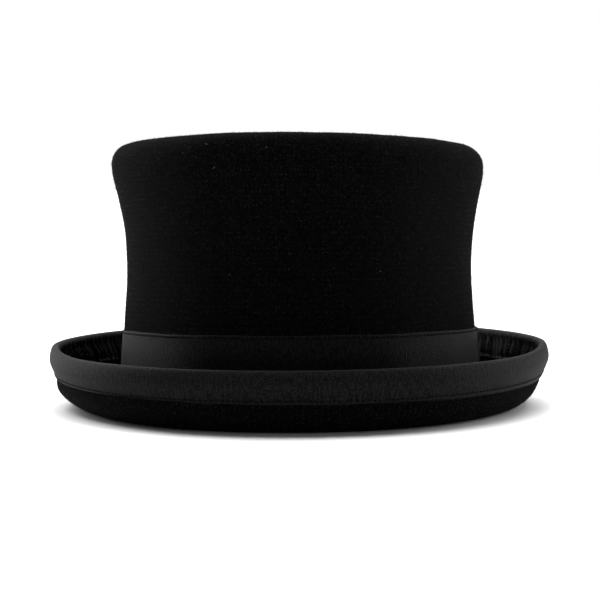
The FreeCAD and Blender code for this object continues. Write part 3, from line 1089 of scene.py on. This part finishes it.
def makeSweatband():
    thick, foot, gap = sweat["leather"], sweat["foot"], sweat["gap"]
    rise = (sweat["top"] - foot) / taperCos
    start = ahead(wallHalfWidth(foot), foot, 180 + crown["taper"], gap)
    drawSection("leatherSweatband", *start, 90 + crown["taper"], [
        (rise - thick / 2, 14), (thick / 2, 180, 6), (rise - thick / 2, 14), (90,), (thick, 1)])
    piece = sweepRound(sweat["spacing"])

    def shape(facing, out, height):
        low = foot + roll(facing, out)[1] * leanSine
        height = low + (height - foot) * (sweat["top"] - low) / (sweat["top"] - foot)
        depth = wallHalfWidth(height) - oval["halfWidth"] - out
        if depth > gap + 0.7 * thick:
            # pressed in along the stitches near its top
            line = sweat["top"] - sweat["stitchInset"]
            out += 0.25 * math.exp(-((height - line) / 0.6) ** 2)
        return facing, out, height

    shapeWall(piece, shape)
    unwrapRound(piece, 0)
    leanBack(piece)
    smooth(piece, 50)
    finishPiece(piece, "leather", sweatbandLeather, "sweatband")

    line = sweat["top"] - sweat["stitchInset"]
    face = wallHalfWidth(line) - oval["halfWidth"] - (gap + thick) / taperCos
    row = sewRow("sweatbandStitches", face + 0.1, line, 6)
    leanBack(row)
    finishPiece(row, "thread", sewingThread, "sweatband_thread")

    middle = wallHalfWidth(sweat["reed"]) - (gap + thick) / taperCos + thick / 2
    moves = [(sweat["reedRadius"], 360, 10)]
    drawSection("sweatbandReed", middle + sweat["reedRadius"], sweat["reed"], 90, moves)
    reed = sweepRound(sweat["reedSpacing"])
    smooth(reed)
    finishPiece(reed, "reed", coatedReed, "sweatband_reed")


# The blank tape tab that hangs from the sweatband's top at the back
label = {"width": 22.0, "height": 12.0, "thick": 0.3, "sag": 0.25}


def boxMiddle(box):
    return [(low + high) / 2 for low, high in zip(*box)]


def makeSizeLabel():
    middle = boxMiddle(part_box("size_label"))
    facing, out = unroll(middle[0] / mm, middle[1] / mm)
    clearSelection()
    bpy.ops.mesh.primitive_grid_add(x_subdivisions=28, y_subdivisions=16, size=1)
    piece = bpy.context.object
    piece.name = "sizeLabel"
    layer = piece.data.uv_layers.active
    layer.name = "round"
    for loop in layer.data:
        loop.uv = (loop.uv[0] * label["width"] * mm, loop.uv[1] * label["height"] * mm)
    height = sweat["top"] - label["height"]
    for v in piece.data.vertices:
        turn = facing + v.co.x * label["width"] / endRadius
        z = height + v.co.y * label["height"]
        inside = wallHalfWidth(z) - oval["halfWidth"] - sweat["gap"] - sweat["leather"] - 0.15
        inside -= label["sag"] * math.cos(v.co.x * math.pi) * (0.5 - v.co.y)
        x, y = roll(turn, inside)
        v.co = (x * mm, y * mm, z * mm)
    leanBack(piece)
    addModifier(piece, "SOLIDIFY", thickness=label["thick"] * mm, offset=0)
    smooth(piece)
    finishPiece(piece, "label", cottonTape, "size_label")


# The little bow at the back of the sweatband: two loops of narrow ribbon and the knot between them
bow = {"loop": 8.0, "width": 6.0, "waist": 2.6, "depth": 1.3, "ribbon": 0.3, "knot": 3.0, "knotDepth": 1.6,
       "knotStretch": 1.05}


def makeBow():
    middle = boxMiddle(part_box("sweatband_bow"))
    parts = []
    for side in (-1, 1):
        clearSelection()
        bpy.ops.mesh.primitive_cylinder_add(vertices=28, radius=0.5, depth=1, end_fill_type="NOTHING",
                                            location=(0, 0, 0))
        loop = bpy.context.object
        editWhole()
        bpy.ops.mesh.subdivide(number_cuts=3)
        leaveEdit()
        for v in loop.data.vertices:
            share = v.co.x + 0.5
            spread = bow["waist"] + (bow["width"] - bow["waist"]) * easeIn(share * 1.3)
            depth = bow["depth"] * (0.35 + 0.65 * easeIn(share * 2))
            crease = 0.12 * math.cos(v.co.z * 3 * math.pi) * (1 - share)
            v.co = (side * (1 + share * bow["loop"]) * mm, (v.co.y * depth + crease) * mm,
                    v.co.z * spread * mm)
        addModifier(loop, "SOLIDIFY", thickness=bow["ribbon"] * mm, offset=0)
        parts.append(loop)
    clearSelection()
    bpy.ops.mesh.primitive_uv_sphere_add(segments=20, ring_count=12, radius=0.5, location=(0, 0, 0))
    knot = bpy.context.object
    for v in knot.data.vertices:
        v.co = (v.co.x * bow["knot"] * mm, v.co.y * bow["knotDepth"] * mm,
                v.co.z * bow["knot"] * bow["knotStretch"] * mm)
    parts.append(knot)
    clearSelection()
    piece = joinAll("sweatbandBow", parts)
    pick(piece)
    editWhole()
    turnOutwards()
    for v in piece.data.vertices:
        bend = (v.co.x / mm) ** 2 / (2 * (endRadius - 5))
        v.co.y += middle[1] - bend * mm
        v.co.x += middle[0]
        v.co.z += middle[2]
    smooth(piece, 60)
    finishPiece(piece, "bow_ribbon", bowRibbon, "sweatband_bow")


makeLiningSide()
makeLiningTip()
makeSweatband()
makeSizeLabel()
makeBow()
print("lining and sweatband")
